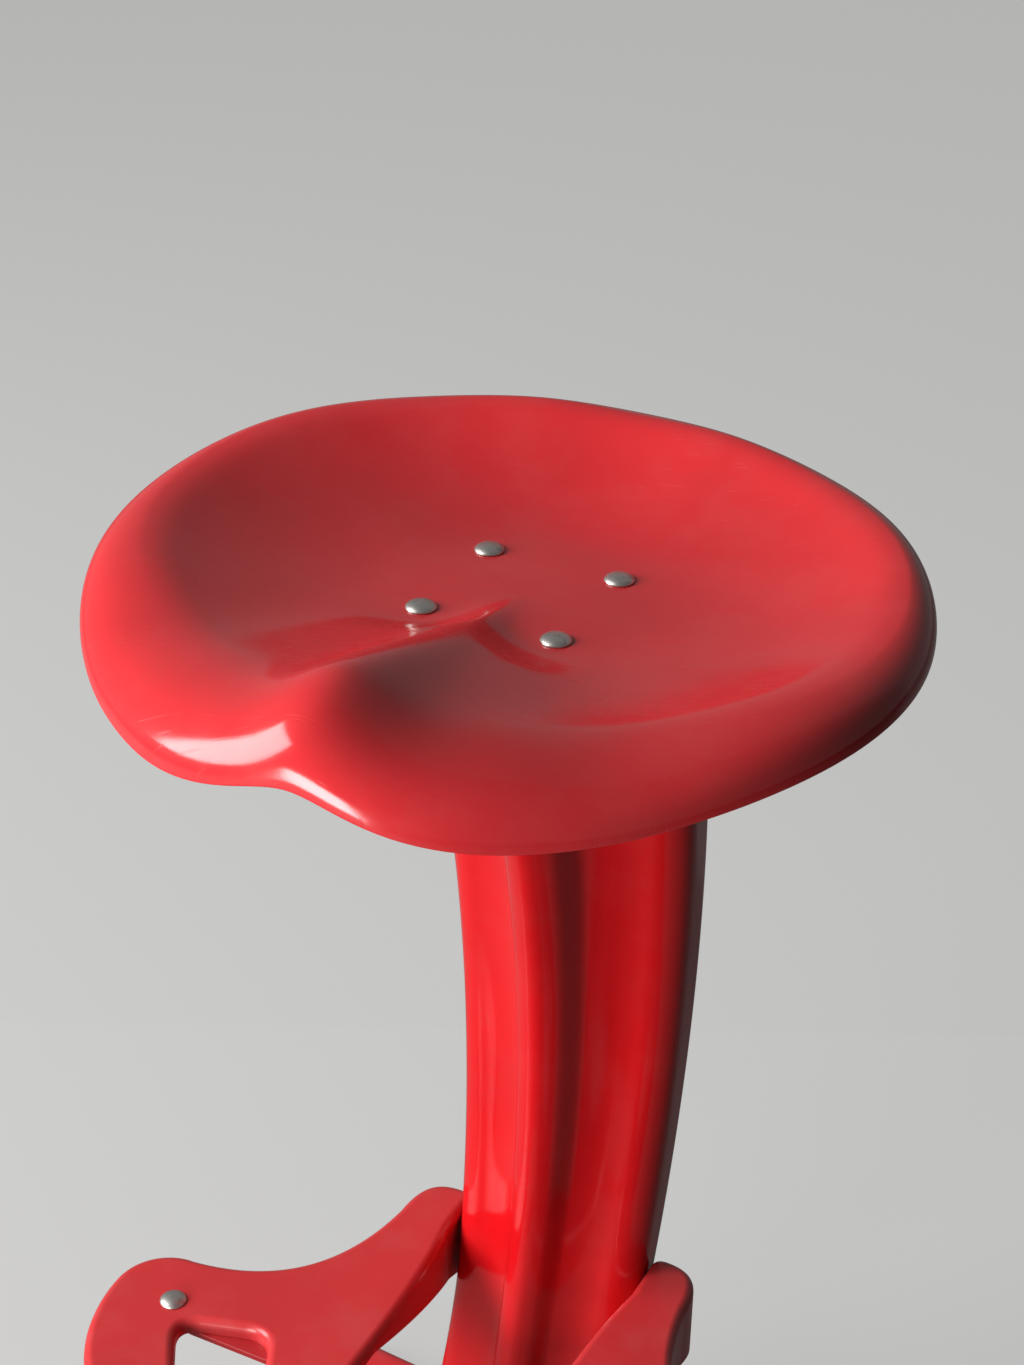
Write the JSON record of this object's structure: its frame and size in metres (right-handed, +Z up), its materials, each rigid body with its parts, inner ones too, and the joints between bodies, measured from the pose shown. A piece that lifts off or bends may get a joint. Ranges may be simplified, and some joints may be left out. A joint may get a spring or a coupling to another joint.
{
  "type": "tractor seat stool",
  "caption": "Stool with a dished sheet-steel seat bolted to a curved pressed channel stalk, with a yoke footrest and a lobed base.",
  "frame": {"origin": "on the floor, under the middle of the whole stool; the middle of the seat's bolts is 33.9 mm behind it", "axes": "+Z up; the front of the stool, with the pommel, faces -Y; +X is to the right when the stool is seen from its front"},
  "size_m": [0.454, 0.4033, 0.7468],
  "materials": {
    "seat_paint": "satin red powder coat",
    "stalk_paint": "gloss red powder coat",
    "footrest_paint": "satin red powder coat",
    "base_paint": "satin red powder coat",
    "hidden_paint": "red powder coat",
    "bolt_steel": "satin, slightly dulled",
    "zinc_steel": "zinc plated",
    "glide_rubber": "matte"
  },
  "bodies": {
    "root": {"seat_pan": "seat_paint", "seat_bracket": "hidden_paint", "stalk": "stalk_paint", "footrest": "footrest_paint", "footrest_tie_bar": "hidden_paint", "base_shell": "base_paint", "foot_plate": "hidden_paint", "seat_1_bolt": "bolt_steel", "seat_1_washer": "zinc_steel", "seat_1_nut": "zinc_steel", "seat_2_bolt": "bolt_steel", "seat_2_washer": "zinc_steel", "seat_2_nut": "zinc_steel", "seat_3_bolt": "bolt_steel", "seat_3_washer": "zinc_steel", "seat_3_nut": "zinc_steel", "seat_4_bolt": "bolt_steel", "seat_4_washer": "zinc_steel", "seat_4_nut": "zinc_steel", "wing_1_bolt": "bolt_steel", "wing_1_washer": "zinc_steel", "wing_1_nut": "zinc_steel", "wing_2_bolt": "bolt_steel", "wing_2_washer": "zinc_steel", "wing_2_nut": "zinc_steel", "ear_1_bolt": "bolt_steel", "ear_1_washer": "zinc_steel", "ear_1_nut": "zinc_steel", "ear_2_bolt": "bolt_steel", "ear_2_washer": "zinc_steel", "ear_2_nut": "zinc_steel", "ear_3_bolt": "bolt_steel", "ear_3_washer": "zinc_steel", "ear_3_nut": "zinc_steel", "ear_4_bolt": "bolt_steel", "ear_4_washer": "zinc_steel", "ear_4_nut": "zinc_steel", "foot_1_bolt": "bolt_steel", "foot_1_washer": "zinc_steel", "foot_1_nut": "zinc_steel", "foot_2_bolt": "bolt_steel", "foot_2_washer": "zinc_steel", "foot_2_nut": "zinc_steel", "foot_3_bolt": "bolt_steel", "foot_3_washer": "zinc_steel", "foot_3_nut": "zinc_steel", "foot_4_bolt": "bolt_steel", "foot_4_washer": "zinc_steel", "foot_4_nut": "zinc_steel", "glide_1": "glide_rubber", "glide_2": "glide_rubber", "glide_3": "glide_rubber", "glide_4": "glide_rubber"}
  },
  "joints": []
}
